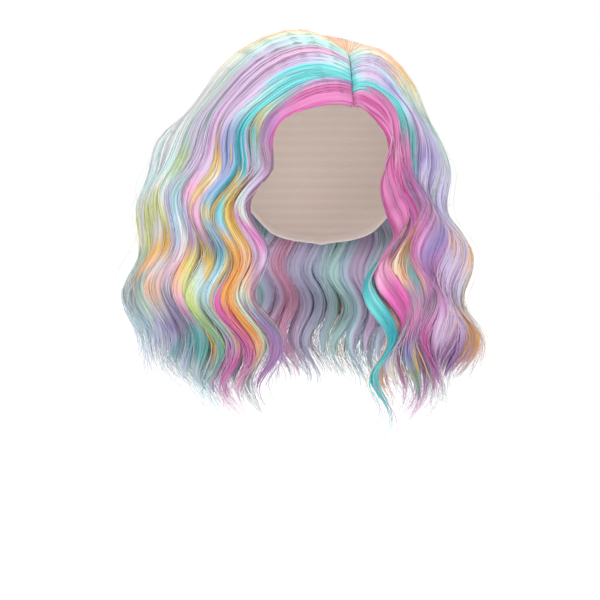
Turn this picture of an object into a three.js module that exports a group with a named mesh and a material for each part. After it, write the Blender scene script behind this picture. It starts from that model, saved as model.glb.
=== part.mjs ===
// Curly bob wig with a side parting: a foundation cap, a parting strip and wavy locks of hair in two layers.
// Millimetres, +Z up, and the face looks along -Y. The origin is where the crown of the head meets the cap.
// Azimuths are degrees round the head: 0 is the face, 90 the -X side, 180 the nape and 270 the +X side.
// A drop is a distance down from the crown.

import * as THREE from "three";

// Head that the wig fits
const headHalfWidth = 77;
const headHalfDepth = 97;
const crownToWidest = 95;

// Foundation cap
const capWall = 2;
const napeDrop = 158;
const capColumns = 32;
const capRows = 7;

// Parting, from its front end at the hairline to the whorl behind the crown
const partingFrontDrop = 41;
const partingFrontOffset = 24;
const partingBackOffset = 20;
const whorlSetback = 15;
const partingHalfGap = 1;
const whorlRadius = 3.2;
const stripThickness = 1.2;
const stripSteps = 12;

// Outer shape of the hair
const hairDrop = 303;
const leftVolume = 79;
const rightVolume = 50;
const backVolume = 45;
const frontSetback = 3;
const innerEase = 16;
const frontDepth = 15;
const crownLift = 52;

// How far the hair runs level from the parting, and how late it turns down, as shares of the way out
const levelRun = 0.3;
const lateTurn = 0.16;

// Thickness of the surface layer at the roots, over the dome and, as a share of both layers, where it hangs
const rootThickness = 4.5;
const domeThickness = 12;
const surfaceShare = 0.5;
const layerTaper = 40;

// Waves, which begin at one drop and have their full size from another
const waveLength = 76;
const waveSway = 10;
const waveBulge = 5.5;
const waveStart = 15;
const waveFull = 112;

// Tips, hidden roots and the rounding of each lock
const tipLength = 62;
const tipRoundness = 0.62;
const tipThinning = 0.7;
const tipLeast = 0.02;
const startLength = 30;
const startLeast = 0.15;
const crownDepth = 5;
const crownOfThickness = 0.5;
const crownOfWidth = 0.45;
const wideFrom = 12;

// Clearances between pieces. The facet ease keeps flat facets clear of the round cap
const seatGap = 0.4;
const lockGap = 0.9;
const layerGap = 4;
const facetEase = 2.8;

// Stations along a lock: over the dome as shares of the way from root to hanging level, then evenly down
const domeStations = [0, 0.14, 0.32, 0.52, 0.76];
const hangStep = 13.2;

// Lower edge of the cap round one side, as shares of the nape's drop
const capEdge = [
  { azimuth: 0, drop: 0.27 },
  { azimuth: 20, drop: 0.27 },
  { azimuth: 35, drop: 0.33 },
  { azimuth: 50, drop: 0.54 },
  { azimuth: 65, drop: 0.71 },
  { azimuth: 82, drop: 0.8 },
  { azimuth: 100, drop: 0.72 },
  { azimuth: 118, drop: 0.78 },
  { azimuth: 140, drop: 0.94 },
  { azimuth: 180, drop: 1 },
];

// Hanging hair, level by level. drop is a share of hairDrop; left, right and back are shares of those volumes,
// front of the front reach and inner of the inner ease. The open angles are the face opening's half-angles
const levels = [
  { drop: 0.3, left: 0.8, right: 0.44, back: 0.55, front: 0.95, inner: 0.1, openLeft: 23, openRight: 27 },
  { drop: 0.4, left: 0.84, right: 0.6, back: 0.68, front: 0.97, inner: 0.25, openLeft: 22, openRight: 24 },
  { drop: 0.51, left: 0.96, right: 0.82, back: 0.86, front: 0.99, inner: 0.5, openLeft: 20, openRight: 19 },
  { drop: 0.66, left: 1.05, right: 0.9, back: 1, front: 1, inner: 0.8, openLeft: 16, openRight: 17 },
  { drop: 0.78, left: 1, right: 1.02, back: 0.98, front: 0.99, inner: 0.95, openLeft: 14, openRight: 20 },
  { drop: 0.88, left: 0.8, right: 0.94, back: 0.88, front: 0.97, inner: 1, openLeft: 16, openRight: 18 },
  { drop: 1, left: 0.5, right: 0.66, back: 0.72, front: 0.94, inner: 0.8, openLeft: 20, openRight: 24 },
];
const hangingLevel = levels[0];
const openLevel = levels[3];
const openReach = 80;
const openFade = 1.5;

// How the hair rises over the dome. lift is a share of crownLift, and shoulder says how square the bend is
const domeGuides = [
  { azimuth: 16, lift: 0, shoulder: 0.8 },
  { azimuth: 34, lift: 0.5, shoulder: 0.86 },
  { azimuth: 60, lift: 1, shoulder: 0.8 },
  { azimuth: 100, lift: 1.1, shoulder: 0.78 },
  { azimuth: 180, lift: 0.95, shoulder: 0.88 },
  { azimuth: 250, lift: 0.55, shoulder: 0.82 },
  { azimuth: 300, lift: 0.36, shoulder: 0.8 },
  { azimuth: 345, lift: 0.1, shoulder: 0.85 },
];

// Surface locks in order round the head. edge and root are where a lock's far side hangs and where it is
// rooted: 0 to 1 is the -X side of the parting from front to back, 1 to 2 goes round the whorl, and 2 to 3 is
// the +X side back to the front. The drops of its tip, of a wave's crest and of a hidden start are shares of
// hairDrop
const surfaceLocks = [
  { name: "left_lock_01", edge: 21, root: 0.14, tip: 0.935, crest: 0.512, colour: "purple" },
  { name: "left_lock_02", edge: 25, root: 0.153, tip: 0.93, crest: 0.528, colour: "gold" },
  { name: "left_lock_03", edge: 30, root: 0.167, tip: 0.945, crest: 0.545, colour: "orange" },
  { name: "left_lock_04", edge: 34.5, root: 0.18, tip: 0.97, crest: 0.548, colour: "pink" },
  { name: "left_lock_05", edge: 40, root: 0.37, tip: 0.96, crest: 0.541, colour: "turquoise" },
  { name: "left_lock_06", edge: 46, root: 0.43, tip: 0.955, crest: 0.528, colour: "green" },
  { name: "left_lock_07", edge: 52, root: 0.5, tip: 0.91, crest: 0.521, colour: "mauve" },
  { name: "left_lock_08", edge: 60, root: 0.6, tip: 0.88, crest: 0.528, colour: "lavender" },
  { name: "left_lock_09", edge: 69, root: 0.72, tip: 0.875, crest: 0.545, colour: "mint" },
  { name: "left_lock_10", edge: 81, root: 0.86, tip: 0.85, crest: 0.568, colour: "sky" },
  { name: "left_lock_11", edge: 95, root: 1, tip: 0.86, crest: 0.587, colour: "gold" },
  { name: "back_lock_01", edge: 111, root: 1.13, tip: 0.88, crest: 0.607, colour: "mint" },
  { name: "back_lock_02", edge: 127, root: 1.25, tip: 0.91, crest: 0.587, colour: "lavender" },
  { name: "back_lock_03", edge: 144, root: 1.37, tip: 0.94, crest: 0.561, colour: "sky" },
  { name: "back_lock_04", edge: 161, root: 1.49, tip: 0.92, crest: 0.541, colour: "pink" },
  { name: "back_lock_05", edge: 178, root: 1.61, tip: 0.95, crest: 0.561, colour: "lavender" },
  { name: "back_lock_06", edge: 195, root: 1.73, tip: 0.93, crest: 0.587, colour: "gold" },
  { name: "back_lock_07", edge: 212, root: 1.85, tip: 0.95, crest: 0.614, colour: "turquoise" },
  { name: "back_lock_08", edge: 230, root: 1.97, tip: 0.91, crest: 0.64, colour: "mauve" },
  { name: "back_lock_09", edge: 248, root: 2.1, tip: 0.9, crest: 0.673, colour: "mint" },
  { name: "right_lock_08", edge: 264, root: 2.24, tip: 0.89, crest: 0.706, colour: "sky" },
  { name: "right_lock_07", edge: 279, root: 2.37, tip: 0.92, crest: 0.726, colour: "gold" },
  { name: "right_lock_06", edge: 294, root: 2.49, tip: 0.9, crest: 0.726, colour: "lavender" },
  { name: "right_lock_05", edge: 306, root: 2.62, tip: 0.92, crest: 0.7, colour: "lilac" },
  { name: "right_lock_04", edge: 315, root: 2.86, tip: 0.94, crest: 0.673, colour: "mauve" },
  { name: "right_lock_03", edge: 323, root: 2.9, tip: 0.945, crest: 0.594, colour: "pink" },
  { name: "right_lock_02", edge: 331, root: 2.915, tip: 0.97, crest: 0.627, colour: "mauve" },
  { name: "right_lock_01", edge: 338, root: 2.99, tip: 0.93, crest: 0.68, colour: "pink" },
  { name: "right_lock_00", edge: 345, root: 3, tip: 0.995, crest: 0.746, colour: "turquoise", start: 0.545 },
];

// Locks under the surface, which start where they are sewn to the cap
const underLocks = [
  { name: "under_lock_01", edge: 46, start: 0.32, tip: 0.96, colour: "teal" },
  { name: "under_lock_02", edge: 76, start: 0.32, tip: 0.98, colour: "teal" },
  { name: "under_lock_03", edge: 108, start: 0.32, tip: 0.9, colour: "sky" },
  { name: "under_lock_04", edge: 144, start: 0.32, tip: 0.93, colour: "mint" },
  { name: "under_lock_05", edge: 180, start: 0.32, tip: 0.95, colour: "lavender" },
  { name: "under_lock_06", edge: 216, start: 0.32, tip: 0.94, colour: "sky" },
  { name: "under_lock_07", edge: 250, start: 0.32, tip: 0.92, colour: "lilac" },
  { name: "under_lock_08", edge: 282, start: 0.32, tip: 0.92, colour: "mint" },
  { name: "under_lock_09", edge: 312, start: 0.33, tip: 0.96, colour: "mauve" },
  { name: "under_lock_10", edge: 340, start: 0.37, tip: 0.98, colour: "gold" },
];
const underSetback = 6;

// Sections of a narrow and of a wide lock: across it from side to side, then back along its inner face.
// down is how far a point falls below the crown of the section, as a share of the crown's depth
const narrowSection = [
  { across: -1, down: 1 },
  { across: -0.42, down: 0 },
  { across: 0.42, down: 0 },
  { across: 1, down: 1 },
  { across: 1, inner: true },
  { across: -1, inner: true },
];
const wideSection = [
  { across: -1, down: 1 },
  { across: -0.6, down: 0 },
  { across: 0, down: 0.75 },
  { across: 0.6, down: 0 },
  { across: 1, down: 1 },
  { across: 1, inner: true },
  { across: 0, inner: true },
  { across: -1, inner: true },
];

const palette = {
  pink: 0xdf6fb4,
  purple: 0xb183c4,
  mauve: 0xb287a8,
  lilac: 0xcfa9dc,
  lavender: 0xb9b3d8,
  turquoise: 0x3fc3cc,
  teal: 0x7fb9b8,
  sky: 0xb5d6e3,
  mint: 0xbfdcd0,
  green: 0xb9cd86,
  gold: 0xe0c07a,
  orange: 0xf3a757,
  net: 0xd9cdbf,
  skin: 0xe6d3c4,
};
const hairRoughness = 0.45;
const netRoughness = 0.9;
const skinRoughness = 0.7;

const hangStart = hangingLevel.drop * hairDrop;
const degrees = Math.PI / 180;
const { clamp, lerp, smoothstep } = THREE.MathUtils;

// Reads a column of a table at any value of its key column, on a smooth curve through the rows
function readTable(rows, key, at, column) {
  const last = rows.length - 1;
  const x = clamp(at, rows[0][key], rows[last][key]);
  let i = 0;
  while (i < last - 1 && x > rows[i + 1][key]) i += 1;
  const slope = (k) => {
    const low = rows[Math.max(k - 1, 0)];
    const high = rows[Math.min(k + 1, last)];
    return (high[column] - low[column]) / (high[key] - low[key]);
  };
  const width = rows[i + 1][key] - rows[i][key];
  const t = (x - rows[i][key]) / width;
  const straight = lerp(rows[i][column], rows[i + 1][column], t * t * (3 - 2 * t));
  return straight + width * t * (1 - t) * ((1 - t) * slope(i) - t * slope(i + 1));
}

// Half-axes of the head's ellipsoid, grown by a distance, and its middle
const headHalves = (grown) => new THREE.Vector3(headHalfWidth, headHalfDepth, crownToWidest).addScalar(grown);
const headMiddle = new THREE.Vector3(0, 0, -crownToWidest);

// Height of that ellipsoid over a point of the plan
function heightOver(x, y, grown) {
  const half = headHalves(grown);
  return headMiddle.z + half.z * Math.sqrt(Math.max(0, 1 - (x / half.x) ** 2 - (y / half.y) ** 2));
}

// Moves a point straight away from the head's middle until it is this far outside the cap
function clearOfCap(point, distance) {
  const fromMiddle = point.clone().sub(headMiddle);
  const size = fromMiddle.clone().divide(headHalves(capWall + distance)).length();
  return size < 1 ? fromMiddle.divideScalar(size).add(headMiddle) : point;
}

// Plan position of the parting at a share of its length from the front
function partingPlan(share) {
  const half = headHalves(capWall);
  const frontHeight = (crownToWidest - partingFrontDrop) / half.z;
  const frontY = -half.y * Math.sqrt(1 - (partingFrontOffset / half.x) ** 2 - frontHeight ** 2);
  const x = lerp(partingFrontOffset, partingBackOffset, share);
  return new THREE.Vector2(x, lerp(frontY, whorlSetback, share));
}

// Half the width of bare parting at a share of its length
const partingHalfWidth = (share) => lerp(partingHalfGap, whorlRadius, share ** 3);

// Where a strand is rooted on the cap, beside the bare parting or round the whorl
function rootPoint(root) {
  const share = clamp(root < 1.5 ? root : 3 - root, 0, 1);
  const plan = partingPlan(share);
  const turn = (clamp(root, 1, 2) - 1) * Math.PI;
  const reach = partingHalfWidth(share) + seatGap;
  plan.x -= Math.cos(turn) * reach;
  plan.y += Math.sin(turn) * reach;
  const onCap = new THREE.Vector3(plan.x, plan.y, heightOver(plan.x, plan.y, capWall));
  return clearOfCap(onCap, seatGap + rootThickness).setX(plan.x);
}

// The sides of all surface locks, from the face round to the face again
const edges = [
  { azimuth: openLevel.openLeft, root: 0, crest: surfaceLocks[0].crest },
  ...surfaceLocks.map((lock, i) => {
    const next = surfaceLocks[Math.min(i + 1, surfaceLocks.length - 1)];
    return { azimuth: lock.edge, root: lock.root, crest: (lock.crest + next.crest) / 2 };
  }),
];
const firstEdge = edges[0].azimuth;
const lastEdge = edges[edges.length - 1].azimuth;

// Reads the edges' list at any azimuth, in straight lines between the edges
function readEdges(azimuth, column) {
  let i = 0;
  while (i < edges.length - 2 && azimuth > edges[i + 1].azimuth) i += 1;
  const share = (azimuth - edges[i].azimuth) / (edges[i + 1].azimuth - edges[i].azimuth);
  return lerp(edges[i][column], edges[i + 1][column], clamp(share, 0, 1));
}

// Turns the azimuth of a strand to the one it has at a drop, where the face opening is wider or narrower
function openedAzimuth(azimuth, drop) {
  const share = drop / hairDrop;
  const left = readTable(levels, "drop", share, "openLeft") - firstEdge;
  const right = readTable(levels, "drop", share, "openRight") - (360 - lastEdge);
  const nearLeft = clamp(1 - (azimuth - firstEdge) / openReach, 0, 1) ** openFade;
  const nearRight = clamp(1 - (lastEdge - azimuth) / openReach, 0, 1) ** openFade;
  return azimuth + left * nearLeft - right * nearRight;
}

// Outer reach of the hanging hair along X and Y, and the depth of its two layers, at an azimuth and a drop
function hangingSize(azimuth, drop) {
  const level = (column) => readTable(levels, "drop", drop / hairDrop, column);
  const sin = Math.sin(azimuth * degrees);
  const cos = Math.cos(azimuth * degrees);
  const ease = innerEase * level("inner");
  const sideVolume = sin > 0 ? leftVolume * level("left") : rightVolume * level("right");
  const endVolume = backVolume * level("back");
  const front = (headHalfDepth + capWall - frontSetback) * level("front");
  const endDepth = cos > 0 ? frontDepth : endVolume - ease;
  return {
    x: headHalfWidth + capWall + sideVolume,
    y: cos > 0 ? front : headHalfDepth + capWall + endVolume,
    depth: sin ** 2 * (sideVolume - ease) + cos ** 2 * endDepth,
  };
}

// Point of the smooth outer surface at an azimuth and a drop, from the hanging level down
function hangingPoint(azimuth, drop) {
  const turned = openedAzimuth(azimuth, drop);
  const size = hangingSize(turned, drop);
  return new THREE.Vector3(-size.x * Math.sin(turned * degrees), -size.y * Math.cos(turned * degrees), -drop);
}

// Curve over the dome, from the root to the hanging level
function domeCurve(azimuth) {
  const root = rootPoint(readEdges(azimuth, "root"));
  const end = hangingPoint(azimuth, hangStart);
  const out = end.clone().sub(root).setZ(0);
  const lift = crownLift * readTable(domeGuides, "azimuth", azimuth, "lift");
  const shoulder = (root.z - end.z) * readTable(domeGuides, "azimuth", azimuth, "shoulder");
  const overRoot = root.clone().addScaledVector(out, levelRun);
  const overEnd = end.clone().addScaledVector(out, -lateTurn);
  return new THREE.CubicBezierCurve3(
    root,
    overRoot.setZ(root.z + lift),
    overEnd.setZ(end.z + shoulder),
    end,
  );
}

// A strand is measured by a station: -1 to 0 over the dome, and then the drop below the hanging level
function outerPoint(azimuth, station) {
  if (station >= 0) return hangingPoint(azimuth, hangStart + station);
  return domeCurve(azimuth).getPoint(station + 1);
}

// Drop that the waves are counted by: the real one where the hair hangs, and the way along the dome above that
function waveDrop(azimuth, station) {
  if (station >= 0) return hangStart + station;
  return hangStart + station * domeCurve(azimuth).getLength();
}

const waveSize = (drop) => smoothstep(drop, waveStart, waveFull);
const wavePhase = (drop, crest) => (2 * Math.PI * (drop - crest * hairDrop)) / waveLength;

// Frame of the outer surface: its point, its outward normal, the way across the strands to a greater azimuth
// and the millimetres between strands a degree apart
function surfaceFrame(azimuth, station) {
  const step = 0.5;
  const along = station < -0.02 ? station + 0.02 : Math.max(station, 0) + step;
  const here = outerPoint(azimuth, station);
  const across = outerPoint(azimuth + step, station).sub(outerPoint(azimuth - step, station));
  const down = outerPoint(azimuth, along).sub(here);
  const normal = across.clone().cross(down);
  const perDegree = normal.length() / (down.length() * 2 * step);
  const side = down.cross(normal).normalize();
  return { here, normal: normal.normalize(), side, perDegree };
}

// A point at a depth under the waved outer surface, at least so far from the cap, and moved aside
function hairPoint(azimuth, station, depth, least, aside) {
  const { here, normal, side } = surfaceFrame(azimuth, station);
  const drop = waveDrop(azimuth, station);
  const bulge = waveBulge * waveSize(drop) * Math.sin(wavePhase(drop, readEdges(azimuth, "crest")));
  const point = here.addScaledVector(normal, bulge - depth);
  return clearOfCap(point, seatGap + least).addScaledVector(side, aside);
}

// Azimuth of a lock's edge at a station, where its wave sways it
function edgeAzimuth(edge, station) {
  const drop = waveDrop(edge.azimuth, station);
  const sway = waveSway * waveSize(drop) * Math.cos(wavePhase(drop, edge.crest));
  return edge.azimuth - sway / surfaceFrame(edge.azimuth, station).perDegree;
}

// Depths of the outer and inner faces of the surface layer
function surfaceLayer(azimuth, station) {
  const hanging = hangingSize(azimuth, Math.max(hangStart, waveDrop(azimuth, station))).depth * surfaceShare;
  const overDome = Math.min(domeThickness, hanging);
  if (station < 0) return { outer: 0, inner: lerp(rootThickness, overDome, smoothstep(station, -1, -0.5)) };
  return { outer: 0, inner: lerp(overDome, hanging, smoothstep(station, 0, layerTaper)) };
}

// Depths of the outer and inner faces of the layer below it
function underLayer(azimuth, station) {
  const { depth } = hangingSize(azimuth, Math.max(hangStart, waveDrop(azimuth, station)));
  const outer = surfaceLayer(azimuth, station).inner + layerGap;
  return { outer, inner: Math.max(depth, outer + rootThickness) };
}

// Stations of a lock from its root to its tip. All locks share the same ones, so that neighbours nest
function stationsOf(start, tip) {
  const all = domeStations.map((share) => share - 1);
  for (let s = 0; s < hairDrop - hangStart; s += hangStep) all.push(s);
  const first = start === undefined ? -1 : start * hairDrop - hangStart;
  const last = tip * hairDrop - hangStart;
  const room = hangStep / 3;
  return [first, ...all.filter((s) => s > first + (first < 0 ? 0 : room) && s < last - room), last];
}

// Share of its full width that a lock has: it narrows to its tip, and to a hidden root
function fullness(station, first, last) {
  const toTip = clamp((last - station) / tipLength, tipLeast, 1) ** tipRoundness;
  const fromStart = first < 0 ? 1 : clamp(startLeast + (station - first) / startLength, 0, 1);
  return toTip * fromStart;
}

// Closes a row of rings of equally many points into one solid. The last side of the rings is split along its
// other diagonal, so that the facing sides of two neighbours are split alike
function loft(rings) {
  const count = rings[0].length;
  const faces = [];
  for (let r = 0; r < rings.length - 1; r += 1)
    for (let k = 0; k < count; k += 1) {
      const a = r * count + k;
      const b = r * count + ((k + 1) % count);
      if (k < count - 1) faces.push(a, b, a + count, b, b + count, a + count);
      else faces.push(a, b, b + count, a, b + count, a + count);
    }
  const end = (rings.length - 1) * count;
  for (let k = 1; k < count - 1; k += 1) {
    faces.push(0, k + 1, k);
    faces.push(end, end + k, end + k + 1);
  }
  return geometryOf(rings.flat(), faces);
}

function geometryOf(points, faces) {
  const geometry = new THREE.BufferGeometry();
  geometry.setFromPoints(points);
  geometry.setIndex(faces);
  geometry.computeVertexNormals();
  return geometry;
}

// One lock between two edges, in a layer, from its root or start to its tip
function lockGeometry(near, far, start, tip, layer, section) {
  const stations = stationsOf(start, tip);
  const first = stations[0];
  const last = stations[stations.length - 1];
  const rootEase = (station) => facetEase * smoothstep(station, -1, domeStations[1] - 1);
  const ring = (station) => {
    const full = fullness(station, first, last);
    const low = edgeAzimuth(near, station);
    const high = edgeAzimuth(far, station);
    const middle = (low + high) / 2;
    const half = ((high - low) / 2) * full;
    const width = surfaceFrame(middle, station).perDegree * half * 2;
    return section.map(({ across, down, inner }) => {
      const azimuth = middle + across * half;
      const faces = layer(azimuth, station);
      const thick = (faces.inner - faces.outer) * full ** tipThinning;
      const fall = Math.min(crownDepth, crownOfThickness * thick, crownOfWidth * width);
      const depth = (faces.inner + faces.outer) / 2 + (inner ? thick / 2 : down * fall - thick / 2);
      const least = inner ? rootEase(station) : rootThickness;
      return hairPoint(azimuth, station, depth, least, (-across * lockGap) / 2);
    });
  };
  return loft(stations.map(ring));
}

// The cap: an outer and an inner face over the head, closed by a rim along its lower edge
function capGeometry() {
  const point = (column, row, grown) => {
    const azimuth = (column / capColumns) * 360;
    const half = headHalves(grown);
    const drop = napeDrop * readTable(capEdge, "azimuth", Math.min(azimuth, 360 - azimuth), "drop");
    const polar = Math.acos((crownToWidest - drop) / crownToWidest) * (row / capRows);
    return new THREE.Vector3(
      -half.x * Math.sin(polar) * Math.sin(azimuth * degrees),
      -half.y * Math.sin(polar) * Math.cos(azimuth * degrees),
      headMiddle.z + half.z * Math.cos(polar),
    );
  };
  const rows = Array.from({ length: capRows }, (_, i) => i + 1);
  const rings = [...rows.map((row) => [row, capWall]), ...rows.reverse().map((row) => [row, 0])];
  const points = rings.flatMap(([row, grown]) =>
    Array.from({ length: capColumns }, (_, column) => point(column, row, grown)),
  );
  const top = points.length;
  points.push(new THREE.Vector3(0, 0, capWall), new THREE.Vector3(0, 0, 0));
  const faces = [];
  const inside = (rings.length - 1) * capColumns;
  for (let k = 0; k < capColumns; k += 1) {
    const next = (k + 1) % capColumns;
    faces.push(top, next, k, top + 1, inside + k, inside + next);
    for (let a = 0; a < inside; a += capColumns)
      faces.push(a + k, a + next, a + k + capColumns, a + next, a + next + capColumns, a + k + capColumns);
  }
  return geometryOf(points, faces);
}

// The parting strip: a thin strip on the cap between the roots, widening to the whorl
function stripGeometry() {
  const low = capWall + seatGap;
  const ring = (share) => {
    const plan = partingPlan(share);
    const half = partingHalfWidth(share) - seatGap / 2;
    const corner = (side, grown) => {
      const x = plan.x + side * half;
      return new THREE.Vector3(x, plan.y, heightOver(x, plan.y, grown));
    };
    const high = low + stripThickness;
    return [corner(-1, high), corner(1, high), corner(1, low), corner(-1, low)];
  };
  return loft(Array.from({ length: stripSteps + 1 }, (_, i) => ring(i / stripSteps)));
}

const root = new THREE.Group();

function addPiece(name, geometry, colour, roughness) {
  const material = new THREE.MeshStandardMaterial({ color: palette[colour], roughness, metalness: 0 });
  const mesh = new THREE.Mesh(geometry, material);
  mesh.name = name;
  root.add(mesh);
}

addPiece("foundation_cap", capGeometry(), "net", netRoughness);
addPiece("parting_strip", stripGeometry(), "skin", skinRoughness);

surfaceLocks.forEach((lock, i) => {
  const [near, far] = [edges[i], edges[i + 1]];
  const section = far.azimuth - near.azimuth > wideFrom ? wideSection : narrowSection;
  const geometry = lockGeometry(near, far, lock.start, lock.tip, surfaceLayer, section);
  addPiece(lock.name, geometry, lock.colour, hairRoughness);
});

underLocks.forEach((lock, i) => {
  const sideAt = (azimuth) => ({ azimuth, crest: readEdges(azimuth, "crest") });
  const near = sideAt(i === 0 ? firstEdge + underSetback : underLocks[i - 1].edge);
  const geometry = lockGeometry(near, sideAt(lock.edge), lock.start, lock.tip, underLayer, wideSection);
  addPiece(lock.name, geometry, lock.colour, hairRoughness);
});

export default root;
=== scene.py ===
import math

import bpy
import numpy as np
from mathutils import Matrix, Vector


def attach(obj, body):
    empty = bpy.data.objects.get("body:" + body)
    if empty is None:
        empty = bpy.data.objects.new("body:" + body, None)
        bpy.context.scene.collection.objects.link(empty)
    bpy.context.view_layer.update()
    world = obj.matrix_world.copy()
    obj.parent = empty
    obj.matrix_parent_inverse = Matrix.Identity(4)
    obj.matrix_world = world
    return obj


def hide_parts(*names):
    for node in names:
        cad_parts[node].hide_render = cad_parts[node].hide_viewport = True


# Curly bob wig with a side parting, in pastel rainbow locks. Metres, +Z up, the face looks along -Y.
# Azimuths are degrees round the head: 0 the face, 90 the -X side, 180 the nape, 270 the +X side.
# A station is a place along a strand: -1 to 0 over the dome, then metres below the hanging level.
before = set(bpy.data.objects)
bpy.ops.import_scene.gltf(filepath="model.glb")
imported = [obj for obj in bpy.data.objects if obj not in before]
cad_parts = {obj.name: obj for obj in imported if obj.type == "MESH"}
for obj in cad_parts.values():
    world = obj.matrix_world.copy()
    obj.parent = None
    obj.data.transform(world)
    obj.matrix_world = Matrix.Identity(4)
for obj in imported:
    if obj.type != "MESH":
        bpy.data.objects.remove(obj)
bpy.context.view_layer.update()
print("frame loaded")


def columns(names, rows):
    # A table as one array for each named column
    return {name: np.array(values, float) for name, values in zip(names.split(), zip(*rows))}


# The shape that all the hair follows. Its sizes are the part's, with waves, turn and taper a little softer
head = {"halfWidth": 0.077, "halfDepth": 0.097, "crownToWidest": 0.095, "capWall": 0.002}
parting = {
    "frontDrop": 0.041,
    "frontOffset": 0.024,
    "backOffset": 0.020,
    "whorlSetback": 0.015,
    "halfGap": 0.001,
    "whorlRadius": 0.0032,
    "seatGap": 0.0004,
}
hair = {
    "drop": 0.303,
    "leftVolume": 0.079,
    "rightVolume": 0.050,
    "backVolume": 0.045,
    "frontSetback": 0.003,
    "innerEase": 0.016,
    "frontDepth": 0.015,
    "crownLift": 0.052,
    "levelRun": 0.3,
    "lateTurn": 0.16,
    "rootThickness": 0.0045,
    "domeThickness": 0.012,
    "surfaceShare": 0.5,
    "layerTaper": 0.070,
    "layerGap": 0.004,
    "turnEase": 0.03,
    "openReach": 80,
    "openFade": 1.5,
}
waves = {"length": 0.0735, "sway": 0.0082, "bulge": 0.0052, "start": 0.015, "full": 0.112}

levels = columns(
    "drop left right back front inner openLeft openRight",
    [
        [0.30, 0.80, 0.44, 0.55, 0.95, 0.10, 23, 27],
        [0.40, 0.84, 0.60, 0.68, 0.97, 0.25, 22, 24],
        [0.51, 0.96, 0.82, 0.86, 0.99, 0.50, 20, 19],
        [0.66, 1.05, 0.90, 1.00, 1.00, 0.80, 16, 17],
        [0.78, 1.00, 1.02, 0.98, 0.99, 0.95, 14, 20],
        [0.88, 0.80, 0.94, 0.88, 0.97, 1.00, 16, 18],
        [1.00, 0.50, 0.66, 0.72, 0.94, 0.80, 20, 24],
    ],
)
domeGuides = columns(
    "azimuth lift shoulder",
    [
        [16, 0.00, 0.80],
        [34, 0.50, 0.86],
        [60, 1.00, 0.80],
        [100, 1.10, 0.78],
        [180, 0.95, 0.88],
        [250, 0.55, 0.82],
        [300, 0.36, 0.80],
        [345, 0.10, 0.85],
    ],
)
capEdge = columns(
    "azimuth drop",
    [
        [0, 0.27],
        [20, 0.27],
        [35, 0.33],
        [50, 0.54],
        [65, 0.71],
        [82, 0.80],
        [100, 0.72],
        [118, 0.78],
        [140, 0.94],
        [180, 1.00],
    ],
)
napeDrop = 0.158

# The surface locks round the head, numbered: far edge, its root on the parting, the tip's drop and a wave crest's
# drop, then the record's slot and the drop of a hidden start
surfaceRows = [
    [21, 0.14, 0.935, 0.512, "purple"], [25, 0.153, 0.93, 0.528, "gold"], [30, 0.167, 0.945, 0.545, "orange"],
    [34.5, 0.18, 0.97, 0.548, "pink"], [40, 0.37, 0.96, 0.541, "turquoise"], [46, 0.43, 0.955, 0.528, "green"],
    [52, 0.5, 0.91, 0.521, "mauve"], [60, 0.6, 0.88, 0.528, "lavender"], [69, 0.72, 0.875, 0.545, "mint"],
    [81, 0.86, 0.85, 0.568, "sky"], [95, 1, 0.86, 0.587, "gold"], [111, 1.13, 0.88, 0.607, "mint"],
    [127, 1.25, 0.91, 0.587, "lavender"], [144, 1.37, 0.94, 0.561, "sky"], [161, 1.49, 0.92, 0.541, "pink"],
    [178, 1.61, 0.95, 0.561, "lavender"], [195, 1.73, 0.93, 0.587, "gold"],
    [212, 1.85, 0.95, 0.614, "turquoise"], [230, 1.97, 0.91, 0.64, "mauve"], [248, 2.1, 0.9, 0.673, "mint"],
    [264, 2.24, 0.89, 0.706, "sky"], [279, 2.37, 0.92, 0.726, "gold"], [294, 2.49, 0.9, 0.726, "lavender"],
    [306, 2.62, 0.92, 0.7, "lilac"], [315, 2.86, 0.94, 0.673, "mauve"], [323, 2.9, 0.945, 0.594, "pink"],
    [331, 2.915, 0.97, 0.627, "mauve"], [338, 2.99, 0.93, 0.68, "pink"],
    [345, 3, 0.995, 0.746, "turquoise", 0.545],
]
# The locks below them: far edge, start's and tip's drop, slot
underRows = [
    [46, 0.32, 0.96, "teal"], [76, 0.32, 0.98, "teal"], [108, 0.32, 0.9, "sky"], [144, 0.32, 0.93, "mint"],
    [180, 0.32, 0.95, "lavender"], [216, 0.32, 0.94, "sky"], [250, 0.32, 0.92, "lilac"],
    [282, 0.32, 0.92, "mint"], [312, 0.33, 0.96, "mauve"], [340, 0.37, 0.98, "gold"],
]


def numbered(rows, **sides):
    # The rows with their names in front, such as left_lock_01
    names = [f"{side}_lock_{number:02d}" for side, numbers in sides.items() for number in numbers]
    return [[name, *row] for name, row in zip(names, rows)]


surfaceLocks = numbered(surfaceRows, left=range(1, 12), back=range(1, 10), right=range(8, -1, -1))
underLocks = numbered(underRows, under=range(1, 11))
underSetback = 6

hangStart = levels["drop"][0] * hair["drop"]
firstEdge = levels["openLeft"][3]
lastEdge = surfaceLocks[-1][1]


def smoothstep(x, low, high):
    # 3t² - 2t³ of the share t of the way from low to high
    t = np.clip((x - low) / (high - low), 0, 1)
    return t * t * (3 - 2 * t)


def mix(a, b, t):
    # a + (b - a) · t
    return a + (b - a) * t


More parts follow.
